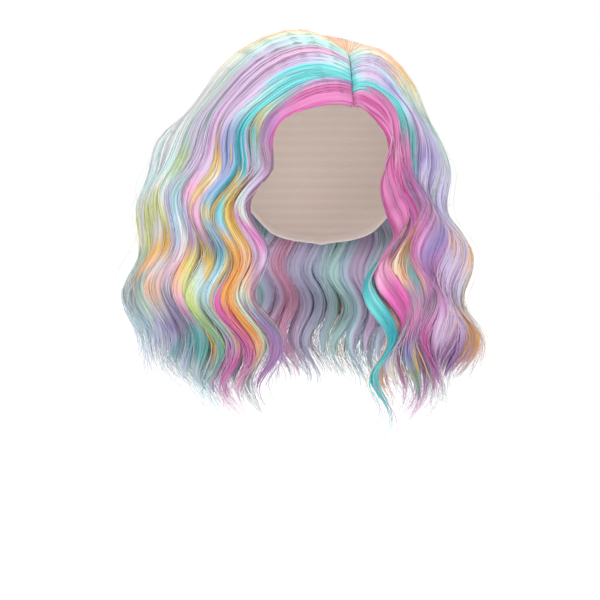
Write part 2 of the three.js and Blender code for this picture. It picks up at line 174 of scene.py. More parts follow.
def readTable(table, key, at, column):
    # Smooth curve through a table's rows: each row's slope is the chord of its two neighbours
    keys, values = table[key], table[column]
    x = np.clip(at, keys[0], keys[-1])
    i = np.clip(np.searchsorted(keys, x) - 1, 0, len(keys) - 2)
    low = np.maximum(np.arange(len(keys)) - 1, 0)
    high = np.minimum(np.arange(len(keys)) + 1, len(keys) - 1)
    slope = (values[high] - values[low]) / (keys[high] - keys[low])
    width = keys[i + 1] - keys[i]
    t = (x - keys[i]) / width
    straight = mix(values[i], values[i + 1], t * t * (3 - 2 * t))
    return straight + width * t * (1 - t) * ((1 - t) * slope[i] - t * slope[i + 1])


def unit(v):
    # Vectors over their lengths
    return v / np.maximum(np.linalg.norm(v, axis=-1, keepdims=True), 1e-12)


headMiddle = np.array([0, 0, -head["crownToWidest"]])
headHalves = np.array([head["halfWidth"], head["halfDepth"], head["crownToWidest"]])


def heightOver(x, y, grown):
    # Height of the head's ellipsoid, grown by a distance, over a point of the plan
    half = headHalves + grown
    return headMiddle[2] + half[2] * np.sqrt(np.maximum(0, 1 - (x / half[0]) ** 2 - (y / half[1]) ** 2))


def clearOfCap(points, distance):
    # Points nearer to the cap than the distance move straight away from the head's middle
    half = headHalves + head["capWall"] + np.asarray(distance)[..., None]
    away = points - headMiddle
    size = np.linalg.norm(away / half, axis=-1, keepdims=True)
    return headMiddle + away / np.minimum(size, 1)


def partingPlan(share):
    # Straight line in plan from the hairline to the whorl
    half = headHalves + head["capWall"]
    height = (head["crownToWidest"] - parting["frontDrop"]) / half[2]
    frontY = -half[1] * math.sqrt(1 - (parting["frontOffset"] / half[0]) ** 2 - height**2)
    x = mix(parting["frontOffset"], parting["backOffset"], share)
    return x, mix(frontY, parting["whorlSetback"], share)


def partingHalfWidth(share):
    # From the gap's half to the whorl's radius, by share³
    return mix(parting["halfGap"], parting["whorlRadius"], share**3)


def rootPoint(root):
    # Beside the parting on the -X side from 0 to 1, round the whorl to 2, back on the +X side to 3
    share = np.clip(np.where(root < 1.5, root, 3 - root), 0, 1)
    x, y = partingPlan(share)
    turn = (np.clip(root, 1, 2) - 1) * math.pi
    reach = partingHalfWidth(share) + parting["seatGap"]
    x = x - np.cos(turn) * reach
    y = y + np.sin(turn) * reach
    onCap = np.stack([x, y, heightOver(x, y, head["capWall"])], -1)
    lifted = clearOfCap(onCap, np.full(x.shape, parting["seatGap"] + hair["rootThickness"]))
    lifted[..., 0] = x
    return lifted


crests = [lock[4] for lock in surfaceLocks]
edges = {
    "azimuth": np.array([firstEdge, *[lock[1] for lock in surfaceLocks]], float),
    "root": np.array([0, *[lock[2] for lock in surfaceLocks]], float),
    "crest": np.array([crests[0], *[(a + b) / 2 for a, b in zip(crests, crests[1:] + crests[-1:])]], float),
}


def readEdges(azimuth, column):
    # Straight between the locks' edges
    return np.interp(azimuth, edges["azimuth"], edges[column])


def openedAzimuth(azimuth, drop):
    # The strands near the face turn with the face opening's half-angles, and less with their distance from it
    share = drop / hair["drop"]
    left = readTable(levels, "drop", share, "openLeft") - firstEdge
    right = readTable(levels, "drop", share, "openRight") - (360 - lastEdge)
    nearLeft = np.clip(1 - (azimuth - firstEdge) / hair["openReach"], 0, 1) ** hair["openFade"]
    nearRight = np.clip(1 - (lastEdge - azimuth) / hair["openReach"], 0, 1) ** hair["openFade"]
    return azimuth + left * nearLeft - right * nearRight


def hangingSize(azimuth, drop):
    # Reach along X and Y of the ellipse at a drop, and the depth of both layers: side · sin² + end · cos²
    level = {name: readTable(levels, "drop", drop / hair["drop"], name) for name in levels}
    sin, cos = np.sin(np.radians(azimuth)), np.cos(np.radians(azimuth))
    ease = hair["innerEase"] * level["inner"]
    side = np.where(sin > 0, hair["leftVolume"] * level["left"], hair["rightVolume"] * level["right"])
    end = hair["backVolume"] * level["back"]
    wall = head["capWall"]
    front = (head["halfDepth"] + wall - hair["frontSetback"]) * level["front"]
    reachX = head["halfWidth"] + wall + side
    reachY = np.where(cos > 0, front, head["halfDepth"] + wall + end)
    depth = sin**2 * (side - ease) + cos**2 * np.where(cos > 0, hair["frontDepth"], end - ease)
    return reachX, reachY, depth


def hangingPoint(azimuth, drop):
    # A point of the ellipse at a drop: -X · sin, -Y · cos of the turned azimuth
    turned = openedAzimuth(azimuth, drop)
    x, y, _ = hangingSize(turned, drop)
    angle = np.radians(turned)
    return np.stack([-x * np.sin(angle), -y * np.cos(angle), -drop + 0 * angle], -1)


def domePoint(azimuth, t):
    # Cubic curve from the root to the hanging level: it leaves level, rises by the lift and turns down late
    root = rootPoint(readEdges(azimuth, "root"))
    end = hangingPoint(azimuth, np.full(azimuth.shape, hangStart))
    out = (end - root) * [1, 1, 0]
    lift = hair["crownLift"] * readTable(domeGuides, "azimuth", azimuth, "lift")
    shoulder = (root[..., 2] - end[..., 2]) * readTable(domeGuides, "azimuth", azimuth, "shoulder")
    overRoot = root + out * hair["levelRun"]
    overRoot[..., 2] += lift
    overEnd = end - out * hair["lateTurn"]
    overEnd[..., 2] += shoulder
    t = t[..., None]
    return (1 - t) ** 3 * root + 3 * (1 - t) ** 2 * t * overRoot + 3 * (1 - t) * t**2 * overEnd + t**3 * end


def outerPoint(azimuth, station):
    # The dome's curve, then the hanging ellipses plus (dome's end slope - ellipses' slope) · s · e^(-s / ease)
    below = np.maximum(station, 0)
    hanging = hangingPoint(azimuth, hangStart + below)
    dome = domePoint(azimuth, np.clip(station + 1, 0, 1))
    slope = np.stack([np.interp(azimuth, turns, kinks[:, k]) for k in range(3)], -1)
    eased = hanging + slope * (below * np.exp(-below / hair["turnEase"]))[..., None]
    return np.where((station >= 0)[..., None], eased, dome)


turns = np.linspace(firstEdge, lastEdge, 330)
domeSteps = np.linspace(0, 1, 60)
domeGrid = domePoint(*np.meshgrid(turns, domeSteps, indexing="ij"))
domeLengths = np.linalg.norm(np.diff(domeGrid, axis=1), axis=-1).sum(1)
slopeRun = 0.002
levelTop, levelBelow = (hangingPoint(turns, np.full(turns.shape, hangStart + run)) for run in (0, slopeRun))
hangSlope = (levelBelow - levelTop) / slopeRun
domeEnd = unit(domeGrid[:, -1] - domeGrid[:, -2])
kinks = domeEnd * np.linalg.norm(hangSlope, axis=-1, keepdims=True) - hangSlope


def waveDrop(azimuth, station):
    # The real drop where the hair hangs, and the length along the dome above that
    return hangStart + np.where(station >= 0, station, station * np.interp(azimuth, turns, domeLengths))


def surfaceFrame(azimuth, station):
    # Normal = across × down, side = down × normal, and the metres between strands a degree apart.
    # Both ways are taken from small steps on the surface
    along = np.where(station < -0.02, station + 0.02, np.maximum(station, 0) + 0.0005)
    here = outerPoint(azimuth, station)
    across = outerPoint(azimuth + 0.5, station) - outerPoint(azimuth - 0.5, station)
    down = outerPoint(azimuth, along) - here
    normal = np.cross(across, down)
    perDegree = np.linalg.norm(normal, axis=-1) / np.maximum(np.linalg.norm(down, axis=-1), 1e-12)
    perDegree = np.maximum(perDegree, 1e-6)
    normal = unit(normal)
    return here, normal, unit(np.cross(down, normal)), perDegree


def surfaceDepths(azimuth, station):
    # Outer and inner depth of the surface layer: thin at the roots, even over the dome, thicker below
    depth = hangingSize(azimuth, np.maximum(hangStart, waveDrop(azimuth, station)))[2]
    hanging = depth * hair["surfaceShare"]
    overDome = np.minimum(hair["domeThickness"], hanging)
    dome = mix(hair["rootThickness"], overDome, smoothstep(station, -1, -0.5))
    below = mix(overDome, hanging, smoothstep(station, 0, hair["layerTaper"]))
    return 0 * hanging, np.where(station < 0, dome, below)


def underDepths(azimuth, station):
    # Below the surface layer and a gap, down to the depth of both layers
    depth = hangingSize(azimuth, np.maximum(hangStart, waveDrop(azimuth, station)))[2]
    outer = surfaceDepths(azimuth, station)[1] + hair["layerGap"]
    return outer, np.maximum(depth, outer + hair["rootThickness"])


tints = {
    "magenta": "c04a91",
    "hotPink": "d65daa",
    "pink": "d57db3",
    "rose": "eeaed0",
    "orchid": "cf8bc4",
    "purple": "aa7ab4",
    # plum: the strands' mauve tone darkened as painted shade, where the hair lies in shadow
    "plum": "8a6788",
    "violet": "8d80b7",
    "lilac": "d4bcdd",
    "lavender": "cbc4e5",
    "periwinkle": "9aa9d8",
    "steel": "6f90bb",
    "blue": "90c2e6",
    "sky": "bfe1ed",
    "aqua": "c8ecea",
    "cyan": "6cd6d8",
    "turquoise": "22a6b2",
    "teal": "5fa9a9",
    "greyTeal": "a7c3c2",
    "seaGreen": "73af92",
    "mint": "cde6d2",
    "green": "abc97e",
    "lime": "d3d889",
    "olive": "a69c58",
    "yellow": "eed57e",
    "gold": "e1b457",
    "orange": "f0a54f",
    "peach": "f2c0a0",
    "brown": "a67642",
    "mauve": "b18eac",
    "grey": "d0d0d7",
    "white": "efeeec",
    "cream": "f1e7c8",
}
colourStyle = {
    "albedo": 0.82,
    "blend": 0.26,
    "reach": 0.7,
    "mingle": 0.14,
    "strandMingle": 0.24,
    "shade": 0.09,
    "slant": 0.07,
    "accentEdge": (0.5, 1.3),
    "accentFade": 0.06,
}


def linear(tint):
    # The tint's screen colour as light, by the sRGB curve
    c = np.array([int(tint[i : i + 2], 16) / 255 for i in (0, 2, 4)])
    return np.where(c <= 0.04045, c / 12.92, ((c + 0.055) / 1.055) ** 2.4)


light = {name: linear(tint) * colourStyle["albedo"] for name, tint in tints.items()}

# Each lock's colours down its length, as way and tint: 0 is the root, 100 the hanging level, 200 the hair's lowest.
# Then its accents, streaks along it: place across, -100 to 100 by azimuth, half width, tint, first and last way
lockColours = {
    "left_lock_01": [
        "0 pink, 50 pink, 60 orchid, 72 purple, 86 mauve, 100 mauve, 107 lavender, 115 mint, 122 orchid, "
        "130 lilac, 138 mauve, 145 peach, 150 mint, 157 violet, 166 purple, 178 purple, 195 mauve",
        "-75 30 hotPink 20 85, -85 25 plum 80 130, 0 22 hotPink 119 131, -60 30 plum 136 156, "
        "30 15 magenta 10 50",
    ],
    "left_lock_02": [
        "0 purple, 38 lavender, 52 cyan, 64 mint, 71 gold, 80 teal, 90 greyTeal, 99 lavender, 106 brown, "
        "112 gold, 125 gold, 133 peach, 142 orange, 164 orange, 170 peach, 178 mauve, 200 mauve",
        "-80 25 mint 140 175, -95 12 yellow 150 180, 50 40 yellow 112 130, -20 30 pink 10 42",
    ],
    "left_lock_03": [
        "0 cyan, 68 cyan, 82 turquoise, 100 turquoise, 106 gold, 113 cyan, 120 blue, 127 gold, 134 brown, "
        "139 brown, 143 olive, 149 hotPink, 168 hotPink, 174 orchid, 180 rose, 190 pink, 205 rose",
        "-70 30 lilac 72 100, 70 30 gold 102 120, -40 30 orange 124 150",
    ],
    "left_lock_04": [
        "0 cyan, 42 cyan, 60 aqua, 80 periwinkle, 105 periwinkle, 112 blue, 118 yellow, 123 blue, 128 steel, "
        "133 teal, 140 sky, 148 sky, 154 greyTeal, 162 greyTeal, 168 orchid, 173 hotPink, 180 orchid, "
        "190 rose, 205 lilac",
        "0 14 gold 86 97, 60 30 aqua 45 80, -70 30 turquoise 80 110, -60 24 gold 130 168",
    ],
    "left_lock_05": [
        "0 cyan, 8 aqua, 24 lavender, 50 lilac, 78 lilac, 88 mauve, 96 gold, 102 cream, 108 peach, 114 rose, "
        "123 mauve, 130 olive, 136 gold, 140 sky, 146 lime, 155 green, 163 seaGreen, 171 teal, 178 greyTeal, "
        "188 sky, 205 greyTeal",
        "-60 30 cyan 5 50, -70 30 periwinkle 75 110, 60 30 yellow 98 115, 50 30 gold 166 176, "
        "50 12 mauve 20 70",
    ],
    "left_lock_06": [
        "0 lilac, 12 rose, 60 lilac, 100 lilac, 108 rose, 118 lavender, 128 mauve, 136 gold, 142 peach, "
        "150 rose, 156 mauve, 162 teal, 170 teal, 176 grey, 184 sky, 205 aqua",
        "20 14 plum 15 62, 60 30 peach 130 150, -60 30 lime 130 146, 0 20 orchid 65 95",
    ],
    "left_lock_07": [
        "0 aqua, 30 aqua, 42 lilac, 70 lilac, 80 greyTeal, 90 lilac, 100 lilac, 106 greyTeal, 112 sky, "
        "125 sky, 131 lavender, 138 rose, 146 grey, 154 violet, 160 mauve, 166 teal, 173 lavender, 185 sky, "
        "205 aqua",
        "60 30 peach 132 146, -50 30 white 120 136, 30 15 mauve 35 80",
    ],
    "left_lock_08": [
        "0 aqua, 50 aqua, 62 mint, 88 greyTeal, 99 green, 105 aqua, 111 white, 117 lime, 124 olive, 131 gold, "
        "136 grey, 146 peach, 154 grey, 160 violet, 165 lavender, 171 teal, 178 white, 205 aqua",
        "0 22 orange 96 105, 50 22 orange 126 137, -50 30 lilac 35 90, -60 30 lavender 108 130",
    ],
    "left_lock_09": [
        "0 yellow, 25 cream, 45 mint, 70 white, 90 white, 100 aqua, 108 white, 117 lime, 126 grey, 135 gold, "
        "140 peach, 146 greyTeal, 155 mint, 164 lavender, 176 grey, 205 sky",
        "-10 25 orange 130 142, 50 30 aqua 80 110, -60 30 grey 55 100",
    ],
    "left_lock_10": [
        "0 gold, 20 peach, 42 cream, 60 white, 110 white, 118 lime, 130 lime, 138 greyTeal, 150 grey, 162 sky, "
        "178 lavender, 200 teal",
        "-10 28 yellow 15 50, 60 30 aqua 70 110, -50 30 grey 60 110, 20 25 grey 112 130",
    ],
    "left_lock_11": [
        "0 orange, 12 peach, 35 cream, 60 white, 112 white, 122 lime, 130 cream, 138 mint, 150 grey, 165 sky, "
        "185 lavender, 200 teal",
        "30 30 yellow 10 45, -50 30 aqua 80 115, 50 30 grey 90 170",
    ],
    "back_lock_01": [
        "0 orange, 12 peach, 35 cream, 70 white, 120 mint, 150 sky, 180 greyTeal",
        "0 30 mint 50 130, 60 30 lilac 100 180",
    ],
    "back_lock_02": [
        "0 orange, 14 peach, 35 yellow, 60 lavender, 100 lilac, 140 lavender, 180 grey",
        "-40 30 rose 60 120, 50 25 sky 90 190",
    ],
    "back_lock_03": [
        "0 orange, 16 peach, 40 cream, 80 sky, 120 blue, 160 greyTeal, 190 teal",
        "30 30 aqua 50 130, -50 20 yellow 110 160",
    ],
    "back_lock_04": [
        "0 orange, 16 peach, 40 rose, 80 pink, 120 orchid, 160 rose, 190 lilac",
        "-30 30 lilac 50 150, 60 20 hotPink 90 160",
    ],
    "back_lock_05": [
        "0 peach, 30 peach, 50 lavender, 80 lilac, 120 periwinkle, 160 lavender, 190 sky",
        "20 30 rose 60 120, -60 20 blue 90 190",
    ],
    "back_lock_06": [
        "0 peach, 50 cream, 90 yellow, 130 gold, 160 peach, 190 mauve",
        "-20 30 peach 50 120, 50 20 lime 110 180",
    ],
    "back_lock_07": [
        "0 peach, 30 cream, 60 aqua, 90 cyan, 120 turquoise, 160 teal, 190 greyTeal",
        "40 30 aqua 60 140, -50 20 blue 90 190",
    ],
    "back_lock_08": [
        "0 cream, 35 peach, 70 lilac, 120 mauve, 160 lilac, 190 rose",
        "-40 30 lavender 60 140, 40 20 pink 90 160",
    ],
    "back_lock_09": [
        "0 cream, 35 peach, 70 mint, 100 greyTeal, 140 mint, 190 teal",
        "20 30 aqua 60 140, -60 20 lime 90 160",
    ],
    "right_lock_08": [
        "0 mint, 15 cream, 40 peach, 62 gold, 72 cream, 84 mint, 95 greyTeal, 110 lavender, 130 grey, "
        "140 lilac, 152 lilac, 160 grey, 170 white, 180 lavender, 200 teal",
        "20 30 mint 70 120, -50 20 cream 90 160",
    ],
    "right_lock_07": [
        "0 aqua, 10 mint, 22 peach, 42 peach, 52 gold, 62 cream, 76 greyTeal, 95 mint, 106 lavender, 120 grey, "
        "130 gold, 138 grey, 148 yellow, 155 cream, 162 white, 170 peach, 180 grey, 200 teal",
        "30 30 grey 70 120, -50 30 grey 140 160, 0 20 cream 20 50",
    ],
    "right_lock_06": [
        "0 aqua, 15 mint, 28 cream, 44 peach, 50 gold, 62 cream, 76 mint, 90 greyTeal, 102 grey, 112 lavender, "
        "122 grey, 130 gold, 136 peach, 143 lilac, 152 lavender, 158 gold, 164 orange, 170 gold, 176 rose, "
        "184 white, 200 greyTeal",
        "30 30 lavender 80 140, -50 30 grey 140 200",
    ],
    "right_lock_05": [
        "0 sky, 10 aqua, 22 lilac, 37 lavender, 46 peach, 54 cream, 64 mint, 75 greyTeal, 86 lavender, "
        "100 lavender, 110 grey, 120 lavender, 127 peach, 133 lavender, 140 lilac, 160 lilac, 168 purple, "
        "178 purple, 184 white, 200 grey",
        "-60 35 gold 160 174, 30 25 violet 90 125, -50 20 lavender 60 100",
    ],
    "right_lock_04": [
        "0 cyan, 6 sky, 12 lilac, 32 lilac, 50 periwinkle, 62 sky, 72 lavender, 84 lilac, 95 violet, "
        "105 lavender, 115 mauve, 127 violet, 136 purple, 142 plum, 148 orchid, 155 lilac, 164 lilac, "
        "172 purple, 178 mauve, 183 white, 190 greyTeal, 205 mauve",
        "70 30 teal 72 106, 10 15 plum 106 120, -40 25 peach 154 167, 20 25 purple 50 90, -60 30 sky 30 65",
    ],
    "right_lock_03": [
        "0 cyan, 58 cyan, 74 teal, 86 pink, 95 pink, 103 purple, 110 mauve, 118 orchid, 132 orchid, 137 mauve, "
        "142 orchid, 148 plum, 154 mauve, 162 orchid, 168 hotPink, 175 purple, 182 orchid, 189 greyTeal, "
        "205 rose",
        "-70 35 teal 70 106, 30 22 hotPink 160 180, -30 20 plum 108 124, 40 30 pink 118 140",
    ],
    "right_lock_02": [
        "0 cyan, 20 cyan, 32 pink, 85 pink, 93 rose, 100 hotPink, 106 orchid, 112 purple, 119 orchid, "
        "124 brown, 131 brown, 136 peach, 141 peach, 146 mauve, 152 mauve, 160 pink, 166 violet, "
        "172 periwinkle, 177 olive, 182 teal, 188 rose, 205 rose",
        "-40 40 brown 122 144, 60 14 cream 126 138, -60 25 gold 168 180, -50 25 plum 106 120, "
        "30 25 magenta 95 122, -60 30 teal 136 148",
    ],
    "right_lock_01": [
        "0 pink, 70 pink, 82 rose, 92 pink, 116 pink, 130 pink, 138 rose, 146 hotPink, 153 hotPink, 158 mauve, "
        "164 greyTeal, 170 lavender, 178 cream, 184 lavender, 200 rose",
        "-75 30 magenta 95 126, 90 20 magenta 40 135, -70 30 brown 125 140, 50 35 hotPink 146 164, "
        "10 16 magenta 12 70",
    ],
    "right_lock_00": [
        "130 turquoise, 142 turquoise, 150 cyan, 160 turquoise, 170 turquoise, 180 cyan, 192 cyan, "
        "210 turquoise",
        "90 22 peach 160 210, -90 20 peach 135 155, 60 20 pink 184 196",
    ],
    "under_lock_01": [
        "100 lavender, 130 lilac, 145 mauve, 165 greyTeal, 200 greyTeal",
        "30 30 lavender 100 180, -40 20 peach 130 160",
    ],
    "under_lock_02": [
        "100 lavender, 130 lavender, 150 mint, 180 greyTeal, 200 sky",
        "20 30 mint 100 210, -50 20 lavender 140 210",
    ],
    "under_lock_03": [
        "100 mint, 150 sky, 190 greyTeal",
        "0 30 lavender 100 210, 70 20 teal 150 210",
    ],
    "under_lock_04": [
        "100 lavender, 150 mint, 190 greyTeal",
        "-20 30 lilac 100 210, 60 20 aqua 100 210",
    ],
    "under_lock_05": [
        "100 lilac, 150 lavender, 190 lilac",
        "20 30 rose 100 210, -60 30 sky 100 210",
    ],
    "under_lock_06": [
        "100 lavender, 150 sky, 190 sky",
        "-50 30 aqua 100 210, 40 30 lilac 100 210",
    ],
    "under_lock_07": [
        "100 mint, 150 lilac, 190 lilac",
        "20 30 cream 100 210, -60 20 lavender 100 210",
    ],
    "under_lock_08": [
        "100 lavender, 150 mint, 190 greyTeal",
        "20 30 grey 100 210, -50 30 teal 150 210",
    ],
    "under_lock_09": [
        "100 mauve, 150 mauve, 180 grey, 200 lilac",
        "-30 30 grey 130 210, 50 20 greyTeal 150 210, 0 15 rose 180 210",
    ],
    "under_lock_10": [
        "120 plum, 145 mauve, 158 rose, 168 pink, 180 rose, 192 lilac, 210 rose",
        "-30 30 grey 130 155, 80 25 peach 150 190, -60 30 lilac 170 210",
    ],
}
wayTable = np.linspace(0, 2.1, 106)


def entries(words):
    # A line of the table as one list for each entry, with its numbers as hundredths
    return [[word if word.isalpha() else int(word) / 100 for word in entry.split()] for entry in words.split(",")]


def tintRow(name):
    # A lock's colour at each way of the table
    ways, names = zip(*entries(lockColours[name][0]))
    rows = np.array([light[tint] for tint in names])
    return np.stack([np.interp(wayTable, ways, rows[:, k]) for k in range(3)], -1)


def layerColours(names, bounds):
    # The locks' middles by azimuth, and their rows of colours
    bounds = np.array(bounds, float)
    return {"centres": (bounds[:-1] + bounds[1:]) / 2, "rows": np.array([tintRow(name) for name in names])}


surfaceColours = layerColours([lock[0] for lock in surfaceLocks], edges["azimuth"])
underEdges = [firstEdge + underSetback, *[lock[1] for lock in underLocks]]
underColours = layerColours([lock[0] for lock in underLocks], underEdges)


def wayOf(station):
    # 0 to 1 over the dome, 1 to 2 from the hanging level to the hair's lowest
    return 1 + np.where(station < 0, station, station / (hair["drop"] - hangStart))


def hairColour(lock, azimuth, way):
    # The colours of the locks on either side of the azimuth, blended where they meet, then the own accents
    rows, centres = lock["colours"]["rows"], lock["colours"]["centres"]
    at = np.clip(np.interp(azimuth, centres, np.arange(len(centres))), *lock["colourReach"])
    i = np.clip(at.astype(int), 0, len(centres) - 2)
    blend = colourStyle["blend"]
    t = smoothstep(at - i, 0.5 - blend, 0.5 + blend)[..., None]
    x = np.clip(way / wayTable[-1], 0, 0.9999) * (len(wayTable) - 1)
    j = x.astype(int)
    s = (x - j)[..., None]
    colour = mix(mix(rows[i, j], rows[i, j + 1], s), mix(rows[i + 1, j], rows[i + 1, j + 1], s), t)
    place = (azimuth - lock["wholeMiddle"]) / lock["wholeHalf"]
    inside, outside = colourStyle["accentEdge"]
    fade = colourStyle["accentFade"]
    for centre, half, tint, start, stop in lock["accents"]:
        amount = 1 - smoothstep(np.abs(place - centre), half * inside, half * outside)
        amount = amount * smoothstep(way, start - fade, start + fade)
        amount = amount * (1 - smoothstep(way, stop - fade, stop + fade))
        colour = mix(colour, light[tint], amount[..., None])
    return colour


# A lock is made of smooth bodies, the strands on them, the wisps at their tips and a few loose strands
lockStyle = {
    "hangZone": (-0.4, 0.05),
    "crestStray": 0.013,
    "swayStray": 0.22,
    "widthStray": 0.17,
    "domeOverlap": 1.04,
    "drift": 0.0020,
    "rise": 0.0020,
    "domeRise": 0.12,
    "tipStray": 0.035,
    "tipLength": 0.075,
    "tipRoundness": 0.75,
    "tipThinning": 0.7,
    "startLength": 0.045,
    "startWidth": 0.15,
    "roundPowers": (9, 3.4),
    "relief": 0.00038,
    "hairlineFade": (-0.45, 0.02),
    "rootEnd": -0.93,
    "rootLean": 0.93,
    "rootDip": 0.0012,
    "capGaps": (0.0012, 0.0038),
    "capGapEnd": -0.9,
    "capGapSpread": 0.25,
    "bodyEnd": 0.016,
    "bodyFade": 0.05,
    "domeLength": 0.2,
    "domePlaces": ([0, 0.16, 0.46, 1], [-1, -0.93, -0.42, 0]),
}
# Each kind's narrower bodies: their width in metres, their overlap, points across outside and inside with rows
# over the dome and below it, strands inside for each one outside, and how far colours stray
lockKinds = {
    "front": {"subWidth": 0.0115, "overlap": 1.18, "mesh": (15, 7, 26, 60), "inside": 0.12, "mingling": 0.5},
    "back": {"subWidth": 0.0123, "overlap": 1.26, "mesh": (15, 7, 26, 60), "inside": 0.12, "mingling": 0.5},
    "under": {"subWidth": 0.019, "overlap": 1.32, "mesh": (9, 7, 0, 40), "inside": 0.3, "mingling": 0.15},
}
# Soft swells of the hair: azimuth, its half width, drop, its half width and metres outwards
swells = [[96, 30, 0.079, 0.021, 0.007], [100, 40, 0.036, 0.028, -0.007]]
# Where the front locks lean to the face: azimuth, its half width, drop, its half width and degrees
leans = [[22, 22, 0.098, 0.032, -3.4]]
# A lock's own shift of its waves as a share of the drop, and the shares of the usual sway and width
waveChanges = {"right_lock_00": (-0.022, 1.0, 0.7), "right_lock_01": (-0.012, 0.9, 1.0)}
strandStyle = {
    "spacing": 0.0010,
    "domeSteps": 17,
    "hangSteps": 30,
    "width": 0.00095,
    "ridge": 0.36,
    "leastRidge": 0.00006,
    "sink": 0.4,
    "tilt": 0.5,
    "wander": 0.0007,
    "lift": 0.0004,
    "clear": 0.00008,
    "crestStray": 0.003,
    "colourStray": (0.07, 0.03),
    "cross": 0.35,
    "crossRun": 0.05,
    "crossReach": 1.1,
    "crossStart": (-0.02, 0.12),
    "places": (-0.96, 0.96),
    "widths": (0.55, 1.25),
    "endStray": 0.045,
    "endFade": 0.05,
    "startFade": 0.02,
    "fewest": 6,
    "strays": 0.10,
    "strayWander": 0.005,
    "strayLift": 0.0028,
}
wispStyle = {
    "count": 14,
    "steps": 15,
    "reach": 0.085,
    "curl": 0.011,
    "wander": 0.0026,
    "past": 0.016,
    "clear": 0.0002,
    "lift": 0.008,
    "halfWidth": 0.00036,
    "widths": (0.6, 1.3),
    "reaches": (0.65, 1.1),
    "endStray": 0.03,
    "inside": 0.3,
}
flyStyle = {
    "count": 1.1,
    "domeSteps": 8,
    "steps": 26,
    "lift": 0.009,
    "clear": 0.0006,
    "wander": 0.007,
    "halfWidth": 0.00021,
    "ends": (-0.006, 0.05),
    "swells": (0.8, 1.3),
    "swellStart": 0.12,
    "crestStray": 0.02,
}


def hangingShare(station):
    # 0 on the dome and 1 where the hair hangs
    return smoothstep(station, *lockStyle["hangZone"])


def fullness(station, first, last):
    # Share of its width that a lock has at a station: it narrows to its tip, and to a hidden root
    style = lockStyle
    toTip = np.clip((last - station) / style["tipLength"], 0.02, 1) ** style["tipRoundness"]
    fromStart = 1.0 if first < 0 else np.clip(style["startWidth"] + (station - first) / style["startLength"], 0, 1)
    return toTip * fromStart


def cosineCells(u, knots):
    # Knot before each place from 0 to 1, and the cosine blend to the next one
    x = np.clip(u, 0, 1) * (knots - 1.001)
    i = x.astype(int)
    return i, (1 - np.cos(math.pi * (x - i))) / 2


def knotCurve(knots, at):
    # Smooth curve through random knots at even places from 0 to 1; one row of knots a strand, or one for all
    i, t = cosineCells(at, knots.shape[-1])
    row = np.arange(len(knots))[:, None] if knots.ndim > 1 else Ellipsis
    low, high = (knots[row, i], knots[row, i + 1]) if knots.ndim > 1 else (knots[i], knots[i + 1])
    return mix(low, high, t)


def patchNoise(knots, u, v):
    # Smooth noise over a patch through random knots on a grid; u and v run from 0 to 1
    (i, s), (j, t) = cosineCells(u, knots.shape[0]), cosineCells(v, knots.shape[1])
    return mix(mix(knots[i, j], knots[i + 1, j], s), mix(knots[i, j + 1], knots[i + 1, j + 1], s), t)


def lengthShare(station):
    # Share of a strand's own length, with one usual length over the dome
    over, below = lockStyle["domeLength"], hair["drop"] - hangStart
    return np.where(station < 0, (station + 1) * over, over + station) / (over + below)


def shifted(value, patches, azimuth, drop):
    # The value plus each patch's amount · e^(-a² - d²): a and d are turn and drop from its middle over its halves
    for turn, reach, level, half, amount in patches:
        value = value + amount * np.exp(-(((azimuth - turn) / reach) ** 2) - ((drop - level) / half) ** 2)
    return value


def makeLock(whole, near, far, start, tip, depths, seed):
    # A lock's own random strays, drawn once
    rng = np.random.default_rng(seed)
    shift, sway, wide = waveChanges.get(whole["name"], (0.0, 1.0, 1.0))
    return {
        **whole,
        "middle": (near + far) / 2,
        "half": (far - near) / 2 * wide,
        "first": -1.0 if start is None else start * hair["drop"] - hangStart,
        "last": tip * hair["drop"] - hangStart,
        "depths": depths,
        "crest": shift + rng.uniform(-1, 1) * lockStyle["crestStray"],
        "sway": sway + rng.uniform(-1, 1) * lockStyle["swayStray"],
        "widths": rng.uniform(-1, 1, 10),
        "rises": rng.uniform(-1, 1, 8),
        "drifts": rng.uniform(-1, 1, 9),
        "grooves": rng.uniform(-1, 1, (9, 6)),
        "shades": rng.uniform(-1, 1, (8, 8)),
        "mingles": rng.uniform(-1, 1, 7),
        "slant": rng.uniform(-1, 1) * colourStyle["slant"],
        "rng": rng,
    }


